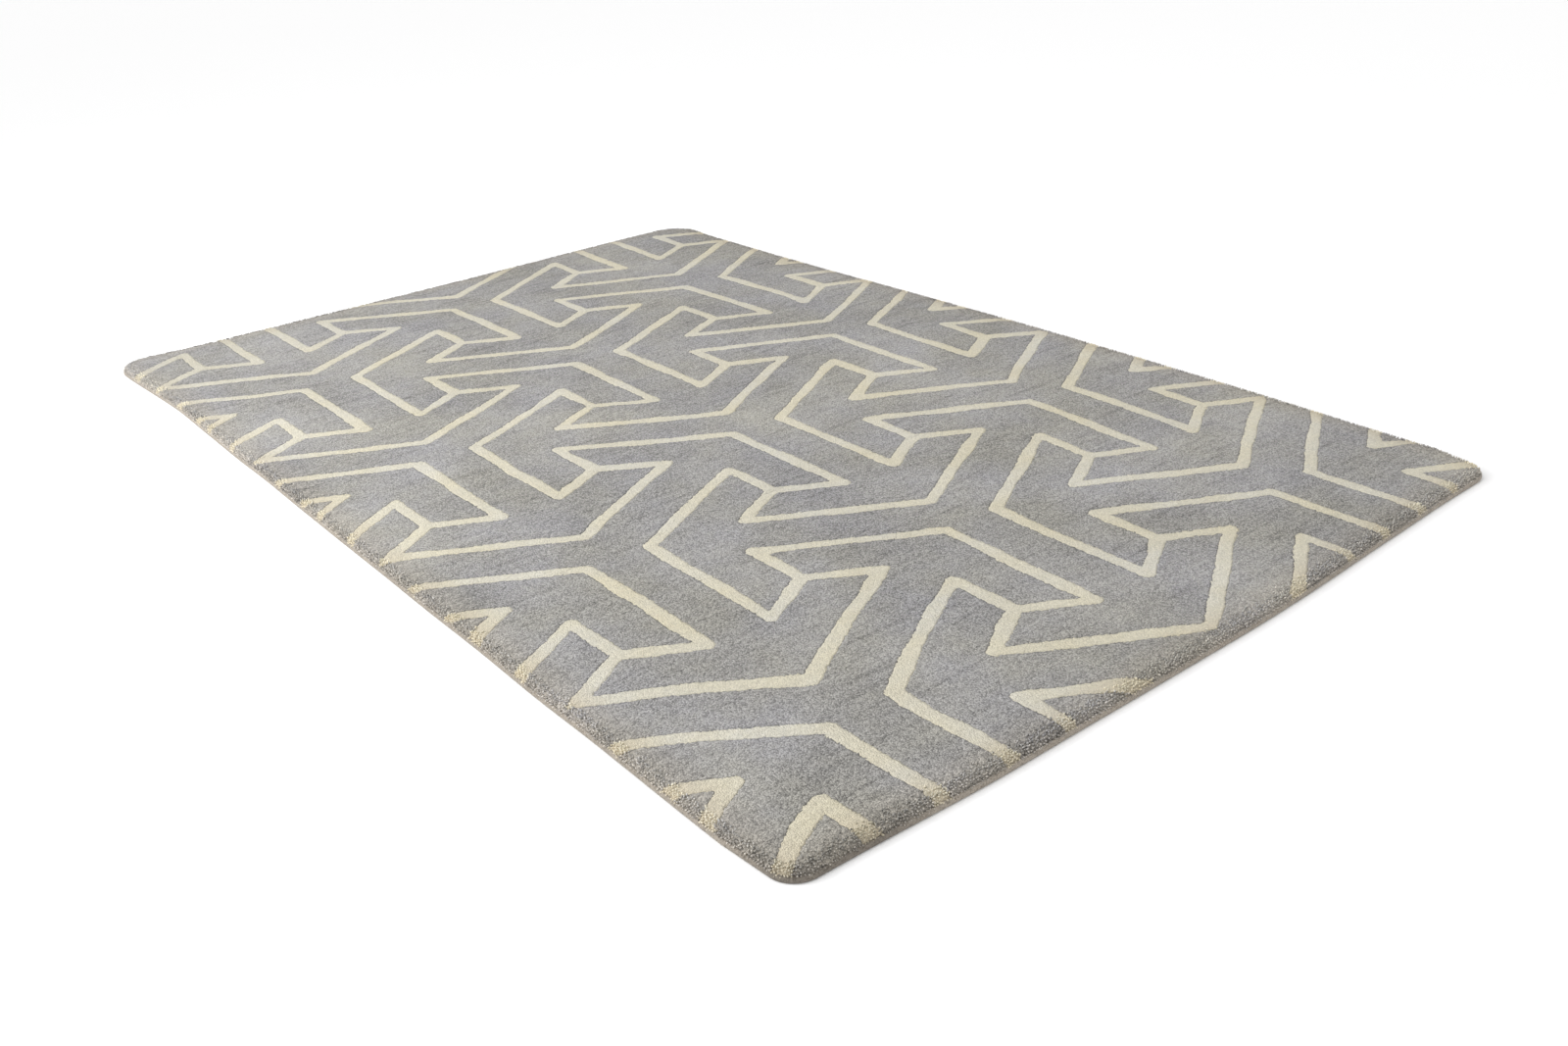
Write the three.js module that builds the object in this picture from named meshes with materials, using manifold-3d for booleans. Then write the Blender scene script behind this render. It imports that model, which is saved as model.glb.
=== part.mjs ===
// Hand-tufted wool area rug: grey heathered cut pile with an ivory line pattern.
// Millimetres. X runs across the rug, Y along it and Z up from the floor.
// The origin is the middle of the underside.

import * as THREE from 'three';
import { mergeVertices } from 'three/addons/utils/BufferGeometryUtils.js';
import Module from 'manifold-3d';

const wasm = await Module();
wasm.setup();

// Outline of the rug.
const rugWidth = 1524;
const rugLength = 2371;
const cornerRadius = 80;

// Layers, from the floor up, and the clearance between neighbours.
const clothThickness = 0.9;
const scrimThickness = 0.6;
const latexThickness = 1.3;
const primaryThickness = 0.8;
const pileHeight = 13.2;
const layerGap = 0.3;

// Where the pile rolls over at the edge: how far in it starts and how far down it ends.
const shoulderReach = 13;
const shoulderDrop = 9.5;

// Tape that binds the edge: turned under by its reach, up the side by its rise.
const bindingThickness = 0.9;
const bindingReach = 34;
const bindingRise = 9;

// Pattern of three-armed tiles. It is drawn to fit the rug: so many tile repeats across and
// along. One tile's centre is off the rug's centre, and an arm is as wide, by a share of a
// repeat. The ivory line is a few rows of tufts wide in a rug of any size.
const repeatsAcross = 2.725;
const repeatsAlong = 4.24;
const tileShift = new THREE.Vector2(0.011, -0.177);
const armShare = 0.1985;
const lineWidth = 25;

// A field cut off by the rug's edge that covers less than this share of a square repeat is
// left in the ivory round it.
const smallestField = 0.02;

// Fineness of round stretches.
const cornerSteps = 8;
const shoulderSteps = 4;

// Ends of the names of fields that share a tile.
const fieldLetters = ['', 'b', 'c', 'd'];

// Heights that follow from the layers.
const scrimBase = Math.max(clothThickness, bindingThickness) + layerGap;
const latexBase = scrimBase + scrimThickness + layerGap;
const primaryBase = latexBase + latexThickness + layerGap;
const pileBase = primaryBase + primaryThickness + layerGap;
const pileTop = pileBase + pileHeight;

// Everything inside the binding is smaller than the rug by this much on each side.
const bindingInset = bindingThickness + layerGap;

// Distance between the centres of tiles one above the other, measured across and along.
const repeat = new THREE.Vector2(rugWidth / repeatsAcross, rugLength / repeatsAlong);

// Cutters and trimming blocks stand this far past what they cut.
const cutMargin = 5;

const materials = {
  greyWool: new THREE.MeshStandardMaterial({ color: 0x9d9a98, roughness: 0.95, metalness: 0 }),
  ivoryWool: new THREE.MeshStandardMaterial({ color: 0xded8c0, roughness: 0.95, metalness: 0 }),
  tuftingCloth: new THREE.MeshStandardMaterial({ color: 0xc9bfa6, roughness: 0.9, metalness: 0 }),
  latex: new THREE.MeshStandardMaterial({ color: 0xd8cfae, roughness: 0.6, metalness: 0 }),
  scrimNet: new THREE.MeshStandardMaterial({ color: 0xe6e0d0, roughness: 0.85, metalness: 0 }),
  backCanvas: new THREE.MeshStandardMaterial({ color: 0xcbbfa3, roughness: 0.9, metalness: 0 }),
  bindingTape: new THREE.MeshStandardMaterial({ color: 0xa39382, roughness: 0.9, metalness: 0 }),
};

const rug = new THREE.Group();

function addPart(name, geometry, material) {
  const mesh = new THREE.Mesh(geometry, material);
  mesh.name = name;
  rug.add(mesh);
}

// A closed geometry as a solid that can be joined and cut.
function solidOf(geometry) {
  const bare = geometry.clone();
  bare.deleteAttribute('normal');
  bare.deleteAttribute('uv');
  const merged = mergeVertices(bare);
  return new wasm.Manifold(new wasm.Mesh({
    numProp: 3,
    vertProperties: new Float32Array(merged.attributes.position.array),
    triVerts: new Uint32Array(merged.index.array),
  }));
}

function geometryOf(solid) {
  const mesh = solid.getMesh();
  const geometry = new THREE.BufferGeometry();
  geometry.setAttribute('position', new THREE.BufferAttribute(mesh.vertProperties, 3));
  geometry.setIndex(new THREE.BufferAttribute(mesh.triVerts, 1));
  geometry.computeVertexNormals();
  return geometry;
}

// Rectangle with round corners, centred, pulled in from the rug's outline by an inset.
function rugOutline(inset) {
  const x = rugWidth / 2 - inset;
  const y = rugLength / 2 - inset;
  const radius = cornerRadius - inset;
  const outline = new THREE.Shape();
  outline.absarc(x - radius, y - radius, radius, 0, Math.PI / 2);
  outline.absarc(radius - x, y - radius, radius, Math.PI / 2, Math.PI);
  outline.absarc(radius - x, radius - y, radius, Math.PI, Math.PI * 1.5);
  outline.absarc(x - radius, radius - y, radius, Math.PI * 1.5, Math.PI * 2);
  return outline;
}

function plate(outline, bottom, top) {
  const geometry = new THREE.ExtrudeGeometry(outline, {
    depth: top - bottom,
    bevelEnabled: false,
    curveSegments: cornerSteps,
  });
  return geometry.translate(0, 0, bottom);
}

function rectangle(width, length) {
  return new THREE.Shape([
    new THREE.Vector2(-width / 2, -length / 2),
    new THREE.Vector2(width / 2, -length / 2),
    new THREE.Vector2(width / 2, length / 2),
    new THREE.Vector2(-width / 2, length / 2),
  ]);
}

// The whole pile as one block: flat on top, rolled over at the edge, upright below that.
function pileBlock() {
  const straight = pileHeight - shoulderDrop;
  const rolled = new THREE.ExtrudeGeometry(rugOutline(bindingInset + shoulderReach), {
    depth: straight + cutMargin,
    bevelThickness: shoulderDrop,
    bevelSize: shoulderReach,
    bevelSegments: shoulderSteps,
    curveSegments: cornerSteps,
  });
  rolled.translate(0, 0, pileBase - cutMargin);
  const trim = plate(rugOutline(-cutMargin), pileBase, pileTop + cutMargin);
  return solidOf(rolled).intersect(solidOf(trim));
}

// Centre lines of the ivory round one tile: three arms, each with a chevron across its end.
// The points are in repeats, turned to make the three arms, and then sized to the rug.
function tileOutline() {
  const root3 = Math.sqrt(3);
  const width = armShare;
  const junction = 1 / (2 * root3);
  const barb = (junction - width / 2) / root3;
  const middle = 1 / 2;
  const arm = [
    new THREE.Vector2(width / 2, -width / (2 * root3)),
    new THREE.Vector2(width / 2, -middle - barb),
    new THREE.Vector2(junction, -middle),
    new THREE.Vector2(2 * junction - width / 2, -middle - barb),
    new THREE.Vector2(0, width / root3 - 1),
    new THREE.Vector2(width / 2 - 2 * junction, -middle - barb),
    new THREE.Vector2(-junction, -middle),
    new THREE.Vector2(-width / 2, -middle - barb),
  ];
  const centre = new THREE.Vector2();
  return [0, 1, 2].flatMap((turn) => arm.map(
    (point) => point.clone().rotateAround(centre, -turn * Math.PI * 2 / 3).multiply(repeat),
  ));
}

// The outline moved inwards by a distance, with sharp corners kept sharp.
function insetOutline(points, distance) {
  const inward = -Math.sign(THREE.ShapeUtils.area(points));
  const count = points.length;
  return points.map((point, index) => {
    const before = point.clone().sub(points[(index + count - 1) % count]).normalize();
    const after = points[(index + 1) % count].clone().sub(point).normalize();
    const normal = new THREE.Vector2(before.y + after.y, -before.x - after.x).normalize();
    const slant = normal.x * before.y - normal.y * before.x;
    return point.clone().addScaledVector(normal, inward * distance / slant);
  });
}

// Centres of the tiles that can reach the rug. Every other column is half a repeat higher.
function tileCentres() {
  const columnStep = Math.sqrt(3) / 2;
  const columns = Math.ceil(repeatsAcross / 2 / columnStep);
  const rows = Math.ceil(repeatsAlong / 2) + 1;
  const centres = [];
  for (let column = -columns; column <= columns; column += 1) {
    const lift = Math.abs(column) % 2 / 2;
    for (let row = -rows; row <= rows; row += 1) {
      const at = new THREE.Vector2(column * columnStep, row + lift).add(tileShift);
      centres.push({ column: column + columns + 1, row: row + rows + 1, at: at.multiply(repeat) });
    }
  }
  return centres;
}

// A block that covers a solid with a margin all round.
function coverOf(solid) {
  const { min, max } = solid.boundingBox();
  const size = max.map((value, axis) => value - min[axis] + 2 * cutMargin);
  const middle = max.map((value, axis) => (value + min[axis]) / 2);
  return solidOf(new THREE.BoxGeometry(...size).translate(...middle));
}

// Upright cutter in a tile's outline, through the whole pile, that spares the smallest fields.
function tileCutter(block, centre, inset) {
  const outline = new THREE.Shape(insetOutline(tileOutline(), inset));
  const upright = plate(outline, pileBase - cutMargin, pileTop + cutMargin);
  let cutter = solidOf(upright.translate(centre.x, centre.y, 0));
  for (const piece of block.intersect(cutter).decompose()) {
    if (piece.volume() < smallestField * repeat.x * repeat.y * pileHeight) {
      cutter = cutter.subtract(coverOf(piece));
    }
  }
  return cutter;
}

// One grey field for each separate piece of a tile that lies on the rug, largest first.
function addGreyFields(block) {
  for (const { column, row, at } of tileCentres()) {
    const tile = block.intersect(tileCutter(block, at, (lineWidth + layerGap) / 2));
    const pieces = tile.decompose().sort((a, b) => b.volume() - a.volume());
    pieces.forEach((piece, index) => {
      const name = `grey_field_c${column}r${row}${fieldLetters[index]}`;
      addPart(name, geometryOf(piece), materials.greyWool);
    });
  }
}

// The edge of the rug that a cut-off end of line lies on.
function edgeOf(end) {
  const { min, max } = end.boundingBox();
  if (max[1] > rugLength / 2 - cutMargin) {
    return 'back';
  }
  if (min[1] < cutMargin - rugLength / 2) {
    return 'front';
  }
  return min[0] < 0 ? 'left' : 'right';
}

// What is left of the pile between the fields is ivory: one long network of lines, and the
// ends of lines that the rug's edge cuts off from it, numbered along each edge.
function addIvoryLines(block) {
  let lines = block;
  for (const { at } of tileCentres()) {
    lines = lines.subtract(tileCutter(block, at, (lineWidth - layerGap) / 2));
  }
  const [network, ...ends] = lines.decompose().sort((a, b) => b.volume() - a.volume());
  addPart('ivory_line_pile', geometryOf(network), materials.ivoryWool);
  const along = ({ min }) => min[0] + min[1];
  ends.sort((a, b) => along(a.boundingBox()) - along(b.boundingBox()));
  const counts = { front: 0, back: 0, left: 0, right: 0 };
  for (const end of ends) {
    const edge = edgeOf(end);
    counts[edge] += 1;
    addPart(`ivory_end_${edge}_${counts[edge]}`, geometryOf(end), materials.ivoryWool);
  }
}

function addLayers() {
  const primary = plate(rugOutline(bindingInset), primaryBase, primaryBase + primaryThickness);
  const latex = plate(rugOutline(bindingInset), latexBase, latexBase + latexThickness);
  const scrim = plate(rugOutline(bindingInset), scrimBase, scrimBase + scrimThickness);
  addPart('primary_backing', primary, materials.tuftingCloth);
  addPart('latex_coat', latex, materials.latex);
  addPart('reinforcing_scrim', scrim, materials.scrimNet);
}

// Plain cloth that fills the underside between the turned-under tapes.
function addBackingCloth() {
  const inset = 2 * (bindingReach + layerGap);
  const cloth = plate(rectangle(rugWidth - inset, rugLength - inset), 0, clothThickness);
  addPart('backing_cloth', cloth, materials.backCanvas);
}

// Tape all round: an upright wall outside the layers and a flange under them.
function bindingRing() {
  const open = 2 * bindingReach;
  const outside = solidOf(plate(rugOutline(0), 0, bindingRise));
  const within = rugOutline(bindingThickness);
  const pocket = solidOf(plate(within, bindingThickness, bindingRise + cutMargin));
  const between = rectangle(rugWidth - open, rugLength - open);
  const window = solidOf(plate(between, -cutMargin, bindingRise));
  return outside.subtract(pocket).subtract(window);
}

// Four tapes, each the ring's stretch along one side, mitred at the corners.
function addBindings() {
  const ring = bindingRing();
  const halfGap = layerGap * Math.SQRT1_2;
  const sides = [
    { name: 'back', run: rugWidth, out: rugLength / 2, turn: 0 },
    { name: 'left', run: rugLength, out: rugWidth / 2, turn: Math.PI / 2 },
    { name: 'front', run: rugWidth, out: rugLength / 2, turn: Math.PI },
    { name: 'right', run: rugLength, out: rugWidth / 2, turn: -Math.PI / 2 },
  ];
  for (const { name, run, out, turn } of sides) {
    const wide = run / 2 + cutMargin - halfGap;
    const deep = cornerRadius + bindingReach;
    const narrow = run / 2 - deep - halfGap;
    const mitre = new THREE.Shape([
      new THREE.Vector2(-wide, out + cutMargin),
      new THREE.Vector2(-narrow, out - deep),
      new THREE.Vector2(narrow, out - deep),
      new THREE.Vector2(wide, out + cutMargin),
    ]);
    const block = plate(mitre, -cutMargin, bindingRise + cutMargin).rotateZ(turn);
    const tape = ring.intersect(solidOf(block));
    addPart(`edge_binding_${name}`, geometryOf(tape), materials.bindingTape);
  }
}

const pile = pileBlock();
addIvoryLines(pile);
addGreyFields(pile);
addLayers();
addBackingCloth();
addBindings();

export default rug;
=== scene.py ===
import math

import bpy
import numpy as np
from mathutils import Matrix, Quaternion, Vector
from mathutils.geometry import tessellate_polygon


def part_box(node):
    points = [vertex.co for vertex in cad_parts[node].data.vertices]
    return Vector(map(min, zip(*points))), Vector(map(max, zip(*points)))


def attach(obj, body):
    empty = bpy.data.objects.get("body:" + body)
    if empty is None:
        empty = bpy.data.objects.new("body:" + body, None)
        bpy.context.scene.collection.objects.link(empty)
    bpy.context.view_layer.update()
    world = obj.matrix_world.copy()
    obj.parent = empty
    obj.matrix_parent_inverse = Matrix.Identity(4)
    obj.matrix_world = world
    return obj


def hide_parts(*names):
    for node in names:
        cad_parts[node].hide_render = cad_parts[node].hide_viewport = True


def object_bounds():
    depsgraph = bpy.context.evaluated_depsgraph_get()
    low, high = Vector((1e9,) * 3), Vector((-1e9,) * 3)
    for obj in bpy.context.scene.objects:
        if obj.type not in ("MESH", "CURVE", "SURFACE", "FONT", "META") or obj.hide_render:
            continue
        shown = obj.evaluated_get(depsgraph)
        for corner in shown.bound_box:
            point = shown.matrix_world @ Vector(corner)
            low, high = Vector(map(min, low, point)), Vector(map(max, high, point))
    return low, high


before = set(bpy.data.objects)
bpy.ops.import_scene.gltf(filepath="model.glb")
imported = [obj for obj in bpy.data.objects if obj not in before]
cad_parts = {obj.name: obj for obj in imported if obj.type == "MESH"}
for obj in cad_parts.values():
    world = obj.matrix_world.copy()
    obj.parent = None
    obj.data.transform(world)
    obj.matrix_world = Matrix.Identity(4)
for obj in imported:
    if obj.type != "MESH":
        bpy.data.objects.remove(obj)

# Hand-tufted wool rug: heathered grey cut pile with hand-drawn ivory lines, bound with tape.
# Metres, +Z up, origin in the middle of the underside. X runs across the rug, Y along it.

cadLow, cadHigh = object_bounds()
halfWidth = (cadHigh.x - cadLow.x) / 2
halfLength = (cadHigh.y - cadLow.y) / 2
pileTop = cadHigh.z
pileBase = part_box("ivory_line_pile")[0].z
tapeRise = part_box("edge_binding_front")[1].z
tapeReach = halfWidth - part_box("backing_cloth")[1].x
layerTops = {name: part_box(name)[1].z for name in ("primary_backing", "latex_coat", "reinforcing_scrim")}
layerBases = {name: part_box(name)[0].z for name in layerTops}
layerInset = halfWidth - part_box("primary_backing")[1].x

print("frame: rug", round(2 * halfWidth, 3), "by", round(2 * halfLength, 3), "m,",
      "pile top at", round(pileTop, 4))


camera = {
    "lens": 33.0,
    "place": (-1.469, -2.142, 1.035),
    "lookAt": (-0.1997, -0.4753, 0.004),
    "roll": -3.34,
}


def addCamera():
    data = bpy.data.cameras.new("camera")
    data.lens = camera["lens"]
    data.sensor_width = 36
    made = bpy.data.objects.new("camera", data)
    bpy.context.scene.collection.objects.link(made)
    ahead = Vector(camera["lookAt"]) - Vector(camera["place"])
    turn = ahead.to_track_quat("-Z", "Y") @ Quaternion((0, 0, 1), math.radians(camera["roll"]))
    made.location = camera["place"]
    made.rotation_mode = "QUATERNION"
    made.rotation_quaternion = turn
    bpy.context.scene.camera = made


studio = {
    "floorSize": 60,
    "floorColour": (0.97, 0.97, 0.97, 1),
    "skyStrength": 0.60,
    "suns": {
        "leftLight": {"place": (-2.6, 1.2, 2.6), "spread": 50, "power": 1.37},
        "frontLight": {"place": (0.9, -1.7, 2.6), "spread": 80, "power": 0.51},
    },
    "softbox": {"place": (-2.2, 0.8, 1.4), "aim": (-0.5, 0.3, 0), "size": 1.6, "power": 42,
                "colour": (0.98, 0.99, 1.0)},
}


def addStudio():
    bpy.ops.mesh.primitive_plane_add(size=studio["floorSize"])
    floor = bpy.context.object
    floor.name = "floor"
    paint = bpy.data.materials.new("floorPaint")
    paint.use_nodes = True
    shader = paint.node_tree.nodes["Principled BSDF"]
    shader.inputs["Base Color"].default_value = studio["floorColour"]
    shader.inputs["Roughness"].default_value = 0.9
    floor.data.materials.append(paint)
    world = bpy.data.worlds.new("studio")
    world.use_nodes = True
    world.node_tree.nodes["Background"].inputs["Color"].default_value = (1, 1, 1, 1)
    world.node_tree.nodes["Background"].inputs["Strength"].default_value = studio["skyStrength"]
    bpy.context.scene.world = world
    bpy.context.scene.view_settings.view_transform = "Standard"
    for name, lamp in studio["suns"].items():
        data = bpy.data.lights.new(name, "SUN")
        data.angle = math.radians(lamp["spread"])
        addLamp(data, lamp, Vector((0, 0, 0)))
    data = bpy.data.lights.new("softbox", "AREA")
    data.size = studio["softbox"]["size"]
    data.color = studio["softbox"]["colour"]
    addLamp(data, studio["softbox"], Vector(studio["softbox"]["aim"]))


def addLamp(data, lamp, aim):
    data.energy = lamp["power"]
    made = bpy.data.objects.new(data.name, data)
    bpy.context.scene.collection.objects.link(made)
    made.location = lamp["place"]
    made.rotation_euler = (Vector(lamp["place"]) - aim).to_track_quat("Z", "Y").to_euler()


addCamera()
addStudio()
print("camera, floor and lights ready")


class Wire:
    # a node's output, or a sum worked out from it with Math nodes
    def __init__(self, graph, socket):
        self.graph = graph
        self.socket = socket

    def calc(self, operation, *values):
        inputs = dict(enumerate(values))
        return self.graph.node("ShaderNodeMath", {"operation": operation}, inputs)

    def __add__(self, other):
        return self.calc("ADD", self, other)

    def __sub__(self, other):
        return self.calc("SUBTRACT", self, other)

    def __mul__(self, other):
        return self.calc("MULTIPLY", self, other)

    def __truediv__(self, other):
        return self.calc("DIVIDE", self, other)

    def __radd__(self, other):
        return self.calc("ADD", other, self)

    def __rsub__(self, other):
        return self.calc("SUBTRACT", other, self)

    def __rmul__(self, other):
        return self.calc("MULTIPLY", other, self)


class Graph:
    # makes and joins the nodes of one tree
    def __init__(self, tree):
        self.tree = tree

    def feed(self, socket, value):
        if isinstance(value, Wire):
            self.tree.links.new(value.socket, socket)
        else:
            socket.default_value = value

    def node(self, kind, settings=None, inputs=None, output=0):
        made = self.tree.nodes.new(kind)
        for key, value in (settings or {}).items():
            setattr(made, key, value)
        for key, value in (inputs or {}).items():
            self.feed(made.inputs[key], value)
        return Wire(self, made.outputs[output])


class Look(Graph):
    # a material: a Principled shader and the pattern nodes in front of it
    def __init__(self, name, roughness, sheen=0.0, sheenRoughness=0.5, specular=0.2):
        self.material = bpy.data.materials.new(name)
        self.material.use_nodes = True
        super().__init__(self.material.node_tree)
        self.tree.nodes.clear()
        self.shader = self.tree.nodes.new("ShaderNodeBsdfPrincipled")
        output = self.tree.nodes.new("ShaderNodeOutputMaterial")
        self.tree.links.new(self.shader.outputs[0], output.inputs[0])
        self.feed(self.shader.inputs["Roughness"], roughness)
        self.feed(self.shader.inputs["Sheen Weight"], sheen)
        self.feed(self.shader.inputs["Sheen Roughness"], sheenRoughness)
        self.feed(self.shader.inputs["Specular IOR Level"], specular)
        self.place = self.node("ShaderNodeTexCoord", output="Object")

    def stretched(self, scale):
        return self.node("ShaderNodeMapping", {}, {"Vector": self.place, "Scale": scale})

    def noise(self, scale, detail=2.0, roughness=0.5, vector=None):
        inputs = {"Vector": vector or self.place, "Scale": scale, "Detail": detail, "Roughness": roughness}
        return self.node("ShaderNodeTexNoise", {"noise_dimensions": "3D"}, inputs, "Fac")

    def cells(self, scale, output):
        inputs = {"Vector": self.place, "Scale": scale, "Randomness": 1.0}
        return self.node("ShaderNodeTexVoronoi", {"feature": "F1"}, inputs, output)

    def spread(self, value, low, high, toLow=0.0, toHigh=1.0):
        inputs = {"Value": value, "From Min": low, "From Max": high, "To Min": toLow, "To Max": toHigh}
        return self.node("ShaderNodeMapRange", {"clamp": True}, inputs)

    def mix(self, factor, first, second, blend="MIX"):
        settings = {"data_type": "RGBA", "blend_type": blend}
        return self.node("ShaderNodeMix", settings, {0: factor, 6: first, 7: second}, 2)

    def grey(self, value):
        return self.node("ShaderNodeCombineColor", {}, {0: value, 1: value, 2: value})

    def attribute(self, name):
        return self.node("ShaderNodeAttribute", {"attribute_name": name}, output="Fac")

    def red(self, colour):
        return self.node("ShaderNodeSeparateColor", {}, {0: colour})

    def bump(self, height, distance, strength=1.0):
        inputs = {"Height": height, "Distance": distance, "Strength": strength}
        self.feed(self.shader.inputs["Normal"], self.node("ShaderNodeBump", {}, inputs))

    def colour(self, value):
        self.feed(self.shader.inputs["Base Color"], value)


greyWool = {
    "base": (0.378, 0.367, 0.344, 1),
    "cool": (0.370, 0.361, 0.366, 1),
    "warm": (0.384, 0.369, 0.330, 1),
    # painted shade: the dark colour of the shaded roots and gaps between yarn ends
    "root": (0.150, 0.122, 0.096, 1),
    "tip": (0.540, 0.500, 0.430, 1),
    "low": (0.440, 0.395, 0.340, 1),
    "edgeColour": (0.395, 0.357, 0.298, 1),
    "edgeColourShare": 0.70,
    "farLeftBlend": 0.0,
    "yarnCell": 0.0023,
    "fibre": 0.0008,
    "contrast": 0.60,
    "streaks": 0.16,
    "rows": 0.34,
    "sheenPatches": 0.22,
}

ivoryWool = {
    "base": (0.645, 0.606, 0.480, 1),
    "cool": (0.638, 0.610, 0.525, 1),
    "warm": (0.652, 0.598, 0.450, 1),
    # painted shade: the dark colour of the shaded roots and gaps between yarn ends
    "root": (0.330, 0.260, 0.160, 1),
    "tip": (0.640, 0.575, 0.430, 1),
    "low": (0.540, 0.470, 0.350, 1),
    "edgeColour": (0.540, 0.470, 0.350, 1),
    "edgeColourShare": 0.85,
    "farLeftBlend": 0.34,
    "yarnCell": 0.0023,
    "fibre": 0.0008,
    "contrast": 0.20,
    "streaks": 0.04,
    "rows": 0.10,
    "sheenPatches": 0.06,
}


def woolLook(name, wool, neighbour, tufted=False):
    look = Look(name, 0.95, sheen=0.12, sheenRoughness=0.6, specular=0.12)
    yarn = 1 / wool["yarnCell"]
    tone = look.red(look.cells(yarn, "Color"))                    # each yarn end has its own tone
    crevice = look.spread(look.cells(yarn, "Distance"), 0.25, 0.75)
    fibre = look.noise(1 / wool["fibre"], detail=1)
    streak = look.noise(1, detail=3, vector=look.stretched((9, 70, 9)))
    sheenPatch = look.noise(3.4, detail=3, roughness=0.6)
    hue = look.noise(5, detail=3, roughness=0.6)
    rows = look.noise(1, detail=2, vector=look.stretched((16, 230, 16)))       # faint rows of stitching
    heather = look.noise(60, detail=2)
    tint = look.mix(look.spread(hue, 0.36, 0.64), wool["cool"], wool["warm"])
    tint = look.mix(look.spread(heather, 0.45, 0.75, 0.0, 0.5), tint, wool["base"])
    shade = 1 + wool["contrast"] * (tone - 0.5) + wool["contrast"] * (fibre - 0.5)
    # painted shade in the crevices between yarn ends
    shade = shade - wool["contrast"] * 0.6 * crevice
    shade = shade - wool["streaks"] * look.spread(streak, 0.52, 0.70)
    shade = shade + wool["rows"] * (rows - 0.5)
    # painted sheen: lighter and darker patches where the pile lies different ways
    shade = shade + wool["sheenPatches"] * look.spread(sheenPatch, 0.36, 0.66, -0.4, 0.6)
    if tufted:
        tip = look.attribute("tip")
        own = look.attribute("ownTone")
        gaps = look.attribute("rootShade")
        # the lowest yarn ends take a lighter, warmer colour
        lowestEnds = look.spread(look.attribute("fromEdge"), 0.0015, 0.0080, 0.5, 0.0)    # the lowest ends
        tint = look.mix(look.spread(own, 0.55, 1.0, 0.0, 0.45), tint, wool["tip"])
        tint = look.mix(lowestEnds, tint, wool["low"])
        # painted shade: the yarn ends darken towards their roots, more in the shaded gaps
        tint = look.mix((0.15 + gaps) * look.spread(tip, 0.28, 0.70, 1.0, 0.0), tint, wool["root"])
        # painted light and shade: the yarn ends lighter by each side's lift, darker in the gaps
        shade = shade * look.attribute("lift") * (0.90 - 0.18 * gaps + (0.16 + 0.30 * gaps) * own)
    else:
        # ends of the other colour stray over the border, and painted shade darkens the gaps where the pile
        # opens towards the edge
        off = look.attribute("fromLine").calc("ABSOLUTE")
        edge = look.attribute("edgeGapShade")
        chance = 1.1 * (tone - 0.5) + 0.8 * (look.noise(300, detail=2) - 0.5)
        stray = look.spread(off / 0.0050 + chance, 0.0, 0.9, 0.5, 0.0)
        tint = look.mix(stray, tint, neighbour["base"])
        tint = look.mix(0.7 * edge * edge * (0.4 + crevice), tint, wool["root"])
        # the pile runs browner towards the edge
        tint = look.mix(wool["edgeColourShare"] * look.attribute("edging"), tint, wool["edgeColour"])
        # towards the far left corner the colour runs towards the other colour's base
        tint = look.mix(wool["farLeftBlend"] * look.attribute("farLeft"), tint, neighbour["base"])
    look.colour(look.mix(1.0, tint, look.grey(shade), "MULTIPLY"))
    look.bump(0.5 * tone - 0.8 * crevice + 0.5 * fibre, 0.0012, 0.8)
    return look.material


tapeCloth = {
    "base": (0.385, 0.342, 0.288, 1),
    "dark": (0.150, 0.128, 0.105, 1),
    "rib": 0.0021,
    "thread": 0.0006,
}


def tapeLook():
    look = Look("bindingTape", 0.9, sheen=0.1, specular=0.15)
    along = look.attribute("along")
    across = look.attribute("across")
    waver = look.noise(120, detail=2) * 0.9
    rib = (along * (2 * math.pi / tapeCloth["rib"]) + waver).calc("SINE") * 0.5 + 0.5
    thread = (across * (2 * math.pi / tapeCloth["thread"]) + 2 * waver).calc("SINE") * 0.5 + 0.5
    fluff = look.noise(380, detail=3, roughness=0.75)
    wear = look.noise(90, detail=4, roughness=0.7)
    depth = look.spread(0.25 * rib + 0.08 * thread + 1.0 * fluff, 0.54, 0.78)
    shade = look.mix(depth, tapeCloth["dark"], tapeCloth["base"])
    # painted shade from the shaded attribute, by the front left corner and along the left side, times random
    # wear
    shadeAndWear = (1.0 - look.attribute("shaded")) * (0.66 + 0.68 * wear)
    look.colour(look.mix(1.0, shade, look.grey(shadeAndWear), "MULTIPLY"))
    look.bump(0.7 * rib + 0.2 * thread + 0.3 * fluff, 0.0006, 0.9)
    return look.material


def wovenLook(name, light, dark, pitch, relief, roughness=0.9):
    look = Look(name, roughness, sheen=0.05, specular=0.15)
    apart = look.node("ShaderNodeSeparateXYZ", {}, {0: look.place})
    upright = Wire(look, apart.socket.node.outputs["Y"])
    waver = look.noise(60, detail=2) * 0.8
    warp = (apart * (2 * math.pi / pitch) + waver).calc("SINE") * 0.5 + 0.5
    weft = (upright * (2 * math.pi / pitch) + waver).calc("SINE") * 0.5 + 0.5
    slub = look.noise(1, detail=3, vector=look.stretched((60, 500, 60)))
    fluff = look.noise(1100, detail=2)
    weave = warp * weft
    depth = look.spread(0.6 * weave + 0.35 * fluff + 0.3 * slub, 0.2, 0.85)
    shade = look.mix(depth, dark, light)
    look.colour(look.mix(1.0, shade, look.grey(0.9 + 0.2 * look.noise(7, detail=4)), "MULTIPLY"))
    look.bump(weave + 0.4 * fluff, relief, 0.8)
    return look.material


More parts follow.
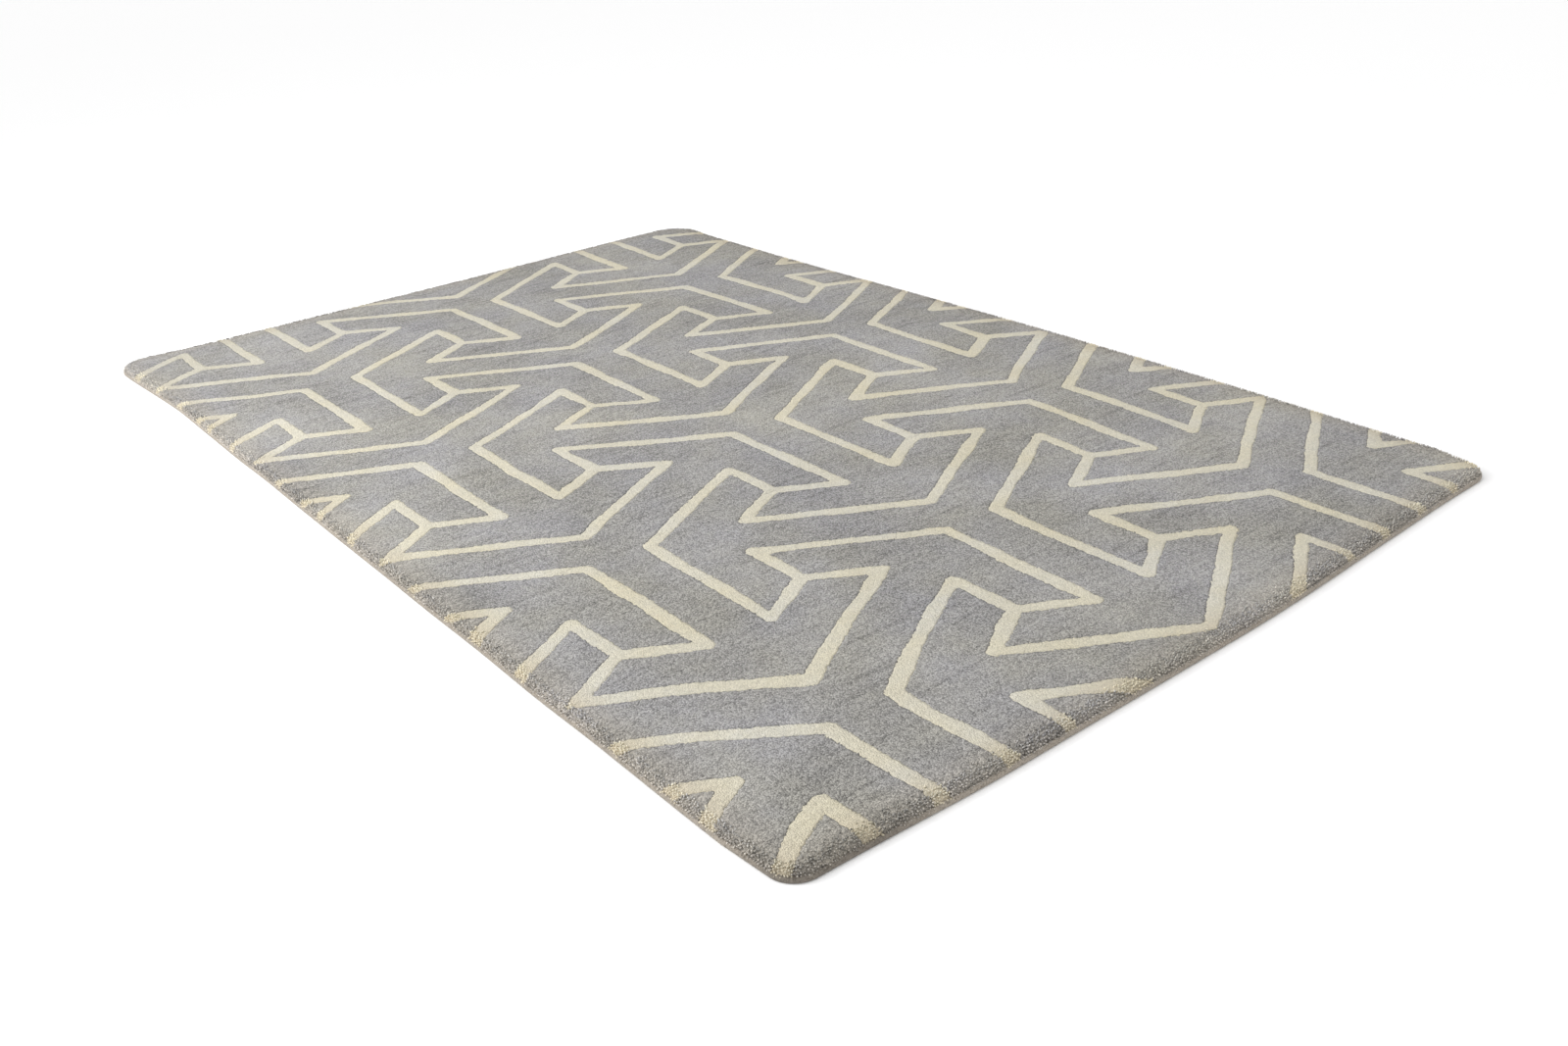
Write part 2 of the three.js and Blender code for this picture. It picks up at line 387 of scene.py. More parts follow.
def latexLook():
    look = Look("latexCoat", 0.55, specular=0.4)
    ripple = look.noise(45, detail=4)
    pores = look.cells(420, "Distance")
    look.colour(look.mix(ripple, (0.66, 0.58, 0.38, 1), (0.78, 0.72, 0.52, 1)))
    look.bump(0.7 * ripple + 0.3 * pores, 0.0008, 0.6)
    return look.material


looks = {
    "greyPile": woolLook("greyWool", greyWool, ivoryWool),
    "ivoryPile": woolLook("ivoryWool", ivoryWool, greyWool),
    "greyTuft": woolLook("greyYarnEnds", greyWool, ivoryWool, tufted=True),
    "ivoryTuft": woolLook("ivoryYarnEnds", ivoryWool, greyWool, tufted=True),
    "tape": tapeLook(),
    "primary": wovenLook("tuftingCloth", (0.60, 0.54, 0.42, 1), (0.34, 0.30, 0.22, 1), 0.0018, 0.0004),
    "scrim": wovenLook("scrimNet", (0.72, 0.69, 0.61, 1), (0.35, 0.32, 0.27, 1), 0.005, 0.0005),
    "canvas": wovenLook("backCanvas", (0.62, 0.55, 0.42, 1), (0.36, 0.31, 0.23, 1), 0.0014, 0.0005),
    "latex": latexLook(),
}
print("materials ready:", len(looks))


outline = {
    "frontLeft": 0.048,
    "frontRight": 0.057,
    "backLeft": 0.054,
    "backRight": 0.085,
    "wobble": 0.0014,
    "wobbleLength": 0.16,
    "seed": 5,
    "margin": 0.03,
    "bendFade": 0.13,
    # rounded from a least-squares fit: side, where along it, over what length, how far out
    "bends": (
        ("front", 0.76, 0.70, -0.027),
        ("front", -0.76, 0.36, -0.009),
        ("right", -0.23, 0.98, 0.019),
        ("back", 0.76, 0.80, 0.016),
        ("left", 1.18, 0.40, 0.014),
    ),
}
cornerRadii = np.array([
    [outline["frontLeft"], outline["frontRight"]],
    [outline["backLeft"], outline["backRight"]],
])


def smoothNoise(x, y, size, seed):
    # soft random hills about this size, from -1 to 1
    count = 256
    table = np.random.default_rng(seed).uniform(-1, 1, (count, count))
    u = np.asarray(x) / size + count / 2
    v = np.asarray(y) / size + count / 2
    column = np.floor(u).astype(int)
    row = np.floor(v).astype(int)
    fx = (u - column) ** 2 * (3 - 2 * (u - column))
    fy = (v - row) ** 2 * (3 - 2 * (v - row))
    column %= count
    row %= count
    right = (column + 1) % count
    above = (row + 1) % count
    low = table[row, column] * (1 - fx) + table[row, right] * fx
    high = table[above, column] * (1 - fx) + table[above, right] * fx
    return low * (1 - fy) + high * fy


def plainOutline(x, y):
    # how far a point is outside the outline with no wobble, and the way straight out of it
    radius = cornerRadii[(y > 0).astype(int), (x > 0).astype(int)]
    qx = np.abs(x) - halfWidth + radius
    qy = np.abs(y) - halfLength + radius
    ox = np.maximum(qx, 0)
    oy = np.maximum(qy, 0)
    reach = np.hypot(ox, oy)
    outside = reach + np.minimum(np.maximum(qx, qy), 0) - radius
    flat = reach < 1e-9
    wayX = np.where(flat, qx > qy, ox / np.where(flat, 1, reach)) * np.sign(x)
    wayY = np.where(flat, qx <= qy, oy / np.where(flat, 1, reach)) * np.sign(y)
    return outside, wayX, wayY


def wobbleAt(x, y):
    # how far the edge stands out of the plain outline at a point on it: a little unevenness all
    # round, and long shallow bends of the sides
    wave = outline["wobble"] * smoothNoise(x, y, outline["wobbleLength"], outline["seed"]) - outline["wobble"]
    gaps = {"front": y + halfLength, "back": halfLength - y, "left": x + halfWidth, "right": halfWidth - x}
    for side, place, length, out in outline["bends"]:
        along = x if side in ("front", "back") else y
        share = np.clip(1 - ((along - place) / length) ** 2, 0, 1) ** 2
        wave = wave + out * share * np.clip(1 - gaps[side] / outline["bendFade"], 0, 1)
    return wave


def edgeDepth(x, y):
    # how far inside the rug's edge a point is, and the way straight out
    outside, wayX, wayY = plainOutline(x, y)
    return wobbleAt(x - outside * wayX, y - outside * wayY) - outside, wayX, wayY


def sideCurve(side, inset, step):
    # points and outward normals from the middle of one corner to the middle of the next
    corners = {"front": ("frontLeft", "frontRight"), "right": ("frontRight", "backRight"),
               "back": ("backRight", "backLeft"), "left": ("backLeft", "frontLeft")}[side]
    centres = [cornerCentre(name) for name in corners]
    middle = {"front": -90, "right": 0, "back": 90, "left": 180}[side]
    angles, places = [], []
    for name, centre, first in zip(corners, centres, (middle - 45, middle)):
        count = max(3, math.ceil(outline[name] * math.pi / 4 / step))
        turn = np.radians(np.linspace(first, first + 45, count + 1))
        angles.append(turn)
        places.append(centre + outline[name] * np.stack([np.cos(turn), np.sin(turn)], 1))
    gap = places[1][0] - places[0][-1]
    count = max(2, math.ceil(float(np.hypot(*gap)) / step))
    share = np.linspace(0, 1, count + 1)[1:-1, None]
    points = np.concatenate([places[0], places[0][-1] + gap * share, places[1]])
    turns = np.concatenate([angles[0], np.full(count - 1, angles[0][-1]), angles[1]])
    normals = np.stack([np.cos(turns), np.sin(turns)], 1)
    push = wobbleAt(points[:, 0], points[:, 1]) - inset
    return points + normals * push[:, None], normals


def bySide(values, wayX, wayY):
    # a value set for each side, running smoothly from one to the next round the corners
    ways = {"front": -wayY, "back": wayY, "left": -wayX, "right": wayX}
    return sum(values[side] * np.clip(way, 0, 1) ** 2 for side, way in ways.items())


# painted shade on the front edge by its left corner: where it starts, how fast it fades in, how far in it
# reaches
shadeAndWear = {
    "start": -0.53,                 # the dark stretch of the front edge lies left of this
    "fade": 0.09,
    "depth": 0.12,
}


def darkCorner(x, y):
    # how much painted shade falls here: 1 on the front edge by its left corner, 0 further along
    along = np.clip((shadeAndWear["start"] - x) / shadeAndWear["fade"], 0, 1)
    return along * np.clip(1 - (y + halfLength) / shadeAndWear["depth"], 0, 1)


def cornerCentre(name):
    signX = 1 if "Right" in name else -1
    signY = 1 if "back" in name else -1
    radius = outline[name]
    return np.array([signX * (halfWidth - radius), signY * (halfLength - radius)])


def addMesh(name, points, triangles, look, smooth=True, attributes=None):
    # smooth is True, or one truth value for each triangle
    mesh = bpy.data.meshes.new(name)
    count = len(triangles)
    mesh.vertices.add(len(points))
    mesh.vertices.foreach_set("co", np.asarray(points, np.float32).ravel())
    mesh.loops.add(count * 3)
    mesh.loops.foreach_set("vertex_index", np.asarray(triangles, np.int32).ravel())
    mesh.polygons.add(count)
    mesh.polygons.foreach_set("loop_start", np.arange(0, count * 3, 3, dtype=np.int32))
    mesh.polygons.foreach_set("use_smooth", np.broadcast_to(smooth, count).astype(bool))
    mesh.update(calc_edges=True)
    for key, values in (attributes or {}).items():
        made = mesh.attributes.new(key, "FLOAT", "POINT")
        made.data.foreach_set("value", np.asarray(values, np.float32))
    mesh.materials.append(looks[look])
    piece = bpy.data.objects.new(name, mesh)
    bpy.context.scene.collection.objects.link(piece)
    return piece


def settle(piece, nodes=()):
    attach(piece, "root")
    if nodes:
        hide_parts(*nodes)


def strip(rows):
    # triangles over a grid of points: rows is an array of vertex numbers, row by row
    a, b = rows[:-1, :-1].ravel(), rows[:-1, 1:].ravel()
    c, d = rows[1:, 1:].ravel(), rows[1:, :-1].ravel()
    return np.concatenate([np.stack([a, b, c], 1), np.stack([a, c, d], 1)])


def growOn(host, name, tree, values):
    # runs a geometry tree on a scratch mesh, keeps what it makes as a plain mesh, and drops the rest
    modifier = host.modifiers.new("grow", "NODES")
    modifier.node_group = tree
    for item in tree.interface.items_tree:
        if item.name in values:
            modifier[item.identifier] = values[item.name]
    shown = bpy.context.evaluated_depsgraph_get()
    mesh = bpy.data.meshes.new_from_object(host.evaluated_get(shown), depsgraph=shown)
    mesh.name = name
    host.modifiers.remove(modifier)
    bpy.data.objects.remove(host)
    piece = bpy.data.objects.new(name, mesh)
    bpy.context.scene.collection.objects.link(piece)
    return piece


class Grower(Graph):
    # a geometry tree with named inputs
    def __init__(self, name, inputs):
        super().__init__(bpy.data.node_groups.new(name, "GeometryNodeTree"))
        self.tree.interface.new_socket(name="Geometry", in_out="INPUT", socket_type="NodeSocketGeometry")
        self.tree.interface.new_socket(name="Geometry", in_out="OUTPUT", socket_type="NodeSocketGeometry")
        for key, kind in inputs.items():
            self.tree.interface.new_socket(name=key, in_out="INPUT", socket_type=f"NodeSocket{kind}")
        self.start = self.tree.nodes.new("NodeGroupInput")
        self.end = self.tree.nodes.new("NodeGroupOutput")

    def given(self, name):
        return Wire(self, self.start.outputs[name])

    def random(self, low, high, seed, kind="FLOAT"):
        # the Random Value node has its own sockets for each kind of value
        first, second, out = {"FLOAT": (2, 3, 1), "FLOAT_VECTOR": (0, 1, 0)}[kind]
        inputs = {first: low, second: high, 8: seed}
        return self.node("FunctionNodeRandomValue", {"data_type": kind}, inputs, out)

    def store(self, geometry, name, value, domain="POINT"):
        settings = {"data_type": "FLOAT", "domain": domain}
        return self.node("GeometryNodeStoreNamedAttribute", settings, {0: geometry, 2: name, 3: value})

    def apart(self, vector):
        split = self.node("ShaderNodeSeparateXYZ", {}, {0: vector}).socket.node
        return [Wire(self, split.outputs[axis]) for axis in "XYZ"]

    def finish(self, geometry):
        solid = self.node("GeometryNodeRealizeInstances", {}, {0: geometry})
        painted = self.node("GeometryNodeSetMaterial", {}, {0: solid, 2: self.given("Material")})
        self.feed(self.end.inputs[0], painted)
        return self.tree


pattern = {
    "repeatsAcross": 2.725,
    "repeatsAlong": 4.24,
    "shift": (0.007, -0.1895),
    "armShare": 0.1985,
    "lineWidth": 0.0228,
    "wideSpot": ((-0.55, -1.00), 0.25, 0.0030),
    "drift": (0.011, 0.0158),      # how far the hand-drawn lines wander across and along
    "driftLength": 0.45,
    "driftSeeds": (1821, 1985),     # the best of several thousand tried
    # rounded from a least-squares fit: middle, reach, and how far the drawing is pulled there
    "pulls": (
        ((0.80, -1.15), 0.36, (0.015, -0.022)),
        ((-0.59, -1.11), 0.17, (-0.006, -0.034)),
        ((-0.52, -1.00), 0.12, (0.014, 0.040)),
        ((-0.80, 0.08), 0.39, (0.000, -0.015)),
        ((0.15, 1.02), 0.29, (0.019, 0.018)),
    ),
    "waver": 0.0022,
    "waverLength": 0.07,
    "unevenWidth": 0.0022,
    "ragged": 0.0013,
    "seed": 21,
}
repeat = np.array([2 * halfWidth / pattern["repeatsAcross"], 2 * halfLength / pattern["repeatsAlong"]])


def tileOutline():
    # centre lines of the ivory round one three-armed tile, each arm ending in a chevron
    root3 = math.sqrt(3)
    width = pattern["armShare"]
    junction = 1 / (2 * root3)
    barb = (junction - width / 2) / root3
    middle = 0.5
    arm = np.array([
        (width / 2, -width / (2 * root3)),
        (width / 2, -middle - barb),
        (junction, -middle),
        (2 * junction - width / 2, -middle - barb),
        (0, width / root3 - 1),
        (width / 2 - 2 * junction, -middle - barb),
        (-junction, -middle),
        (-width / 2, -middle - barb),
    ])
    points = []
    for turn in np.radians([0, -120, -240]):
        across = arm[:, 0] * math.cos(turn) - arm[:, 1] * math.sin(turn)
        along = arm[:, 0] * math.sin(turn) + arm[:, 1] * math.cos(turn)
        points.append(np.stack([across, along], 1))
    return np.concatenate(points) * repeat


def tileCentres():
    columnStep = math.sqrt(3) / 2
    columns = math.ceil(pattern["repeatsAcross"] / 2 / columnStep)
    rows = math.ceil(pattern["repeatsAlong"] / 2) + 1
    for column in range(-columns, columns + 1):
        for row in range(-rows, rows + 1):
            lift = abs(column) % 2 / 2
            yield (np.array([column * columnStep, row + lift]) + pattern["shift"]) * repeat


def drawPattern(x, y):
    # distance outside the ivory at each point, less than 0 in it, and the way off the line
    seed = pattern["seed"]
    u = x + pattern["drift"][0] * smoothNoise(x, y, pattern["driftLength"], pattern["driftSeeds"][0])
    u = u + pattern["waver"] * smoothNoise(x, y, pattern["waverLength"], seed + 1)
    v = y + pattern["drift"][1] * smoothNoise(x, y, pattern["driftLength"], pattern["driftSeeds"][1])
    v = v + pattern["waver"] * smoothNoise(x, y, pattern["waverLength"], seed + 3)
    for middle, reach, pull in pattern["pulls"]:
        share = np.exp(-((x - middle[0]) ** 2 + (y - middle[1]) ** 2) / (2 * reach ** 2))
        u = u + pull[0] * share
        v = v + pull[1] * share
    best = np.full(len(x), 1.0)
    offX, offY = np.zeros(len(x)), np.zeros(len(x))
    corners = tileOutline()
    reach = float(np.hypot(*corners.T).max()) + pattern["lineWidth"]
    for centre in tileCentres():
        near = np.flatnonzero((u - centre[0]) ** 2 + (v - centre[1]) ** 2 < reach ** 2)
        px, py = u[near] - centre[0], v[near] - centre[1]
        found = best[near]
        foundX, foundY = offX[near], offY[near]
        for start, end in zip(corners, np.roll(corners, -1, axis=0)):
            run = end - start
            share = ((px - start[0]) * run[0] + (py - start[1]) * run[1]) / float(run @ run)
            share = np.clip(share, 0, 1)
            dx = px - start[0] - share * run[0]
            dy = py - start[1] - share * run[1]
            away = dx * dx + dy * dy
            closer = away < found
            found = np.where(closer, away, found)
            foundX = np.where(closer, dx, foundX)
            foundY = np.where(closer, dy, foundY)
        best[near], offX[near], offY[near] = found, foundX, foundY
    away = np.sqrt(best)
    thickness = pattern["lineWidth"] / 2 + pattern["unevenWidth"] * smoothNoise(x, y, 0.05, seed + 4)
    thickness = thickness + pattern["ragged"] * smoothNoise(x, y, 0.006, seed + 5)
    middle, reach, extra = pattern["wideSpot"]
    share = np.exp(-((x - middle[0]) ** 2 + (y - middle[1]) ** 2) / (2 * reach ** 2))
    thickness = thickness + extra / 2 * share
    safe = np.maximum(away, 1e-9)
    return away - thickness, offX / safe, offY / safe


pile = {
    "fadeReach": 0.42,              # the far left corner's ivory is paler this far out
    "edgingReach": 0.060,           # the pile is a little browner this far in from the edge
    "inset": 0.0036,
    "spacing": 0.0031,
    "jitter": 0.26,
    "tuftRelief": 0.00055,
    "waves": 0.0006,
    "waveLength": 0.09,
    "shoulderReach": 0.030,
    "shoulderDrop": 0.0088,
    "borderDip": 0.0003,
    "borderGap": 0.00012,
    "sink": 0.0006,                 # the tops' mean height under the highest tips
    # painted shade in the gaps where the pile opens at its edge, for each side and by the front left corner
    "gapShadeBySide": {"front": 0.22, "right": 0.05, "back": 0.12, "left": 0.0},
    "cornerGapShade": 0.45,
    "largestPart": 70000,
    "seed": 3,
}


def pileGrid():
    # jittered triangular grid of tufts over the whole rug
    step = pile["spacing"]
    rise = step * math.sqrt(3) / 2
    columns = math.ceil(2 * (halfWidth + outline["margin"]) / step)
    rows = math.ceil(2 * (halfLength + outline["margin"]) / rise)
    row, column = np.divmod(np.arange(rows * columns), columns)
    chance = np.random.default_rng(pile["seed"])
    x = (column - (columns - 1) / 2 + 0.5 * (row % 2) - 0.25) * step
    y = (row - (rows - 1) / 2) * rise
    x = x + step * pile["jitter"] * chance.uniform(-1, 1, len(x))
    y = y + step * pile["jitter"] * chance.uniform(-1, 1, len(y))
    index = np.arange(rows * columns).reshape(rows, columns)
    even, odd = index[0:-1:2], index[1::2]
    even = even[:len(odd)]
    later = index[2::2]
    previous = odd[:len(later)]
    triangles = np.concatenate([
        np.stack([even[:, :-1], even[:, 1:], odd[:, :-1]], 2).reshape(-1, 3),
        np.stack([even[:, 1:], odd[:, 1:], odd[:, :-1]], 2).reshape(-1, 3),
        np.stack([previous[:, :-1], later[:, 1:], later[:, :-1]], 2).reshape(-1, 3),
        np.stack([previous[:, :-1], previous[:, 1:], later[:, 1:]], 2).reshape(-1, 3),
    ])
    return x, y, triangles


def shoulderHeight(depth):
    # height of the pile this far in from its edge: rolled over at the edge, flat further in
    share = np.clip(1 - depth / pile["shoulderReach"], 0, 1)
    return pileTop - pile["shoulderDrop"] * (1 - np.sqrt(1 - share ** 2))


def joinedTriangles(triangles, colour):
    # a number for each triangle, the same for all that touch along an edge in one colour
    count = len(triangles)
    sides = np.concatenate([triangles[:, [0, 1]], triangles[:, [1, 2]], triangles[:, [2, 0]]])
    owner = np.tile(np.arange(count), 3)
    key = sides.min(1).astype(np.int64) * (sides.max() + 1) + sides.max(1)
    order = np.argsort(key, kind="stable")
    same = key[order][1:] == key[order][:-1]
    first, second = owner[order][:-1][same], owner[order][1:][same]
    alike = colour[first] == colour[second]
    first, second = first[alike], second[alike]
    label = np.arange(count)
    while True:
        one, two = label[first], label[second]
        apart = one != two
        if not apart.any():
            return label
        np.minimum.at(label, np.maximum(one, two)[apart], np.minimum(one, two)[apart])
        while True:
            jumped = label[label]
            if (jumped == label).all():
                break
            label = jumped


def borderLoops(border):
    # closed loops from directed border edges, each going through a vertex only once
    onward = {}
    for start, end in border.tolist():
        onward.setdefault(start, []).append(end)
    loops = []
    while onward:
        start = next(iter(onward))
        path = [start]
        where = {start: 0}
        while path:
            ends = onward[path[-1]]
            end = ends.pop()
            if not ends:
                del onward[path[-1]]
            if end in where:
                cut = where[end]
                loops.append(path[cut:])
                for vertex in path[cut + 1:]:
                    del where[vertex]
                path = path[:cut + 1]
                if path[-1] not in onward:
                    break
            else:
                where[end] = len(path)
                path.append(end)
    return loops


def pileBlock(name, triangles, points, look, traits):
    # one closed piece of pile: its top, walls down to the cloth, and a flat bottom
    used, local = np.unique(triangles, return_inverse=True)
    faces = local.reshape(-1, 3)
    top = points[used].copy()
    count = len(top)
    sides = np.concatenate([faces[:, [0, 1]], faces[:, [1, 2]], faces[:, [2, 0]]])
    key = sides.min(1).astype(np.int64) * count + sides.max(1)
    _, inverse, uses = np.unique(key, return_inverse=True, return_counts=True)
    border = sides[uses[inverse] == 1]
    run = top[border[:, 1], :2] - top[border[:, 0], :2]
    out = np.stack([run[:, 1], -run[:, 0]], 1)
    push = np.zeros((count, 2))
    np.add.at(push, border[:, 0], out)
    np.add.at(push, border[:, 1], out)
    length = np.maximum(np.hypot(push[:, 0], push[:, 1]), 1e-9)
    top[:, :2] -= push / length[:, None] * pile["borderGap"]
    rim = np.unique(border)
    below = np.full(count, -1)
    below[rim] = count + np.arange(len(rim))
    bottom = top[rim].copy()
    bottom[:, 2] = pileBase
    a, b = border[:, 0], border[:, 1]
    walls = np.concatenate([np.stack([b, a, below[a]], 1), np.stack([b, below[a], below[b]], 1)])
    loops = borderLoops(border)
    flat = np.concatenate([np.array(loop) for loop in loops])
    corners = [[Vector((*top[vertex, :2], 0)) for vertex in loop] for loop in loops]
    filled = flat[np.array(tessellate_polygon(corners))]
    p, q, r = (top[filled[:, i], :2] for i in range(3))
    area = (q[:, 0] - p[:, 0]) * (r[:, 1] - p[:, 1]) - (q[:, 1] - p[:, 1]) * (r[:, 0] - p[:, 0])
    filled = below[np.where((area > 0)[:, None], filled[:, ::-1], filled)]
    every = np.concatenate([faces, walls, filled])
    smooth = np.arange(len(every)) < len(faces)
    attributes = {key: np.concatenate([values[used], values[used][rim]]) for key, values in traits.items()}
    return addMesh(name, np.concatenate([top, bottom]), every, look, smooth, attributes)


def makePile():
    x, y, triangles = pileGrid()
    step = pile["spacing"]
    depth, wayX, wayY = edgeDepth(x, y)
    depth = depth - pile["inset"]
    keep = (depth[triangles] > -0.5 * step).all(1)
    triangles = triangles[keep]
    used, local = np.unique(triangles, return_inverse=True)
    triangles = local.reshape(-1, 3)
    x, y, depth, wayX, wayY = x[used], y[used], depth[used], wayX[used], wayY[used]
    off, offX, offY = drawPattern(x, y)
    print("pattern drawn on", len(x), "points")
    near = (np.abs(off) < 0.45 * step) & (depth > 1.5 * step)
    x = np.where(near, x - off * offX, x)
    y = np.where(near, y - off * offY, y)
    ivory = off[triangles].mean(1) < 0

    # the outermost points move onto the edge
    sides = np.concatenate([triangles[:, [0, 1]], triangles[:, [1, 2]], triangles[:, [2, 0]]])
    key = sides.min(1).astype(np.int64) * len(x) + sides.max(1)
    _, inverse, uses = np.unique(key, return_inverse=True, return_counts=True)
    rim = np.unique(sides[uses[inverse] == 1])
    x[rim] += depth[rim] * wayX[rim]
    y[rim] += depth[rim] * wayY[rim]
    depth[rim] = 0

    chance = np.random.default_rng(pile["seed"] + 1)
    z = shoulderHeight(depth) - pile["sink"]
    z = z + pile["tuftRelief"] * chance.uniform(-1, 1, len(z))
    z = z + pile["waves"] * smoothNoise(x, y, pile["waveLength"], pile["seed"] + 2)
    z = z - pile["borderDip"] * np.exp(-(off / 0.0025) ** 2)
    z = np.minimum(z, pileTop)
    points = np.stack([x, y, z], 1)
    label = joinedTriangles(triangles, ivory)
    # painted shade in the gaps where the pile opens near the edge
    spread = bySide(pile["gapShadeBySide"], wayX, wayY)
    spread = spread + pile["cornerGapShade"] * darkCorner(x, y)
    farLeft = np.exp(-((x + halfWidth) ** 2 + (y - halfLength) ** 2) / pile["fadeReach"] ** 2)
    traits = {"fromLine": off, "edgeGapShade": np.clip(1 - depth / pile["shoulderReach"], 0, 1) * spread,
              "edging": np.clip(1 - depth / pile["edgingReach"], 0, 1), "farLeft": farLeft}
    return points, triangles, ivory, label, traits


def cadPlaces(name):
    # a few places in each face that looks up on a CAD node, and each one's share of the area
    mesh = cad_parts[name].data
    mesh.calc_loop_triangles()
    count = len(mesh.loop_triangles)
    points = np.zeros(len(mesh.vertices) * 3)
    corners = np.zeros(count * 3, np.int32)
    mesh.vertices.foreach_get("co", points)
    mesh.loop_triangles.foreach_get("vertices", corners)
    shapes = points.reshape(-1, 3)[corners.reshape(-1, 3)]
    one, two = shapes[:, 1] - shapes[:, 0], shapes[:, 2] - shapes[:, 0]
    normals = np.cross(one, two)
    up = normals[:, 2] > 0.5 * np.maximum(np.linalg.norm(normals, axis=1), 1e-12)
    shapes, areas = shapes[up], normals[up, 2] / 2
    weights = np.array([[1, 1, 1], [4, 1, 1], [1, 4, 1], [1, 1, 4], [5, 5, 1], [1, 5, 5], [5, 1, 5]], float)
    weights /= weights.sum(1)[:, None]
    places = np.einsum("kc,fcd->fkd", weights, shapes)[:, :, :2]
    return places.reshape(-1, 2), np.repeat(areas / len(weights), len(weights))


def standsFor(points, triangles, ivory, label):
    # the CAD nodes that each drawn field or line stands for: the one that lies under most of it
    centre = points[triangles].mean(1)[:, :2]
    cell = 0.006
    square = np.floor(centre / cell).astype(int)
    lookup = {}
    for number, (i, j) in enumerate(square.tolist()):
        lookup.setdefault((i, j), []).append(number)
    own = {white: np.flatnonzero(ivory == white) for white in (True, False)}
    found = {}
    for name in sorted(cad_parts):
        if not name.startswith(("grey_field", "ivory_")):
            continue
        votes = {}
        wanted = name.startswith("ivory_")
        places, areas = cadPlaces(name)
        for (px, py), area in zip(places, areas):
            i, j = math.floor(px / cell), math.floor(py / cell)
            around = [t for di in (-1, 0, 1) for dj in (-1, 0, 1) for t in lookup.get((i + di, j + dj), ())]
            around = [t for t in around if ivory[t] == wanted]
            if around:
                nearest = min(around, key=lambda t: (centre[t, 0] - px) ** 2 + (centre[t, 1] - py) ** 2)
                votes[label[nearest]] = votes.get(label[nearest], 0) + area
        if not votes:
            middle = (places * areas[:, None]).sum(0) / areas.sum()
            gaps = np.hypot(*(centre[own[wanted]] - middle).T)
            votes[label[own[wanted][gaps.argmin()]]] = 1
            print("nearest pile taken for", name, "at", round(float(gaps.min()), 3))
        found.setdefault(max(votes, key=votes.get), []).append(name)
    return found


def addPile():
    points, triangles, ivory, label, traits = makePile()
    found = standsFor(points, triangles, ivory, label)
    order = np.argsort(label, kind="stable")
    starts = np.flatnonzero(np.diff(label[order], prepend=-1))
    extra = {True: 0, False: 0}
    for group in np.split(order, starts[1:]):
        nodes = found.get(label[group[0]], [])
        white = bool(ivory[group[0]])
        look, slot = ("ivoryPile", "ivory_wool") if white else ("greyPile", "grey_wool")
        if nodes:
            base = nodes[0]
        else:
            extra[white] += 1
            base = f"{'ivory' if white else 'grey'}_scrap_{extra[white]}"
        parts = 1 + len(group) // pile["largestPart"]
        along = points[triangles[group]].mean(1)[:, 1]
        share = np.clip(((along - along.min()) / (np.ptp(along) + 1e-9) * parts).astype(int), 0, parts - 1)
        for part in range(parts):
            name = f"{base}_pile" if parts == 1 else f"{base}_part_{part + 1}"
            piece = pileBlock(name, triangles[group[share == part]], points, look, traits)
            settle(piece, nodes)
    print("pile made:", len(starts), "fields and lines,", len(triangles), "triangles on top, scraps", extra)


addPile()


tuft = {
    "ivoryLift": 0.90,
    # painted shade on the yarn ends by the front left corner
    "cornerRootShade": 0.5,
    "cornerTuftShade": 0.42,
    "spacing": 0.0027,
    "radius": 0.00150,
    "length": 0.0066,
    "tilt": 0.42,
    "reach": {"front": 0.026, "right": 0.014, "back": 0.012, "left": 0.018},
    "below": {"front": 0.0022, "right": 0.0040, "back": 0.0040, "left": 0.0058},
    # painted shade in the gaps on each side, and painted light that makes each side's yarn ends lighter
    "rootShade": {"front": 0.30, "right": 0.10, "back": 0.10, "left": 0.04},
    "lift": {"front": 1.36, "right": 1.42, "back": 1.00, "left": 1.54},
    "step": 0.004,
    "seed": 17,
}


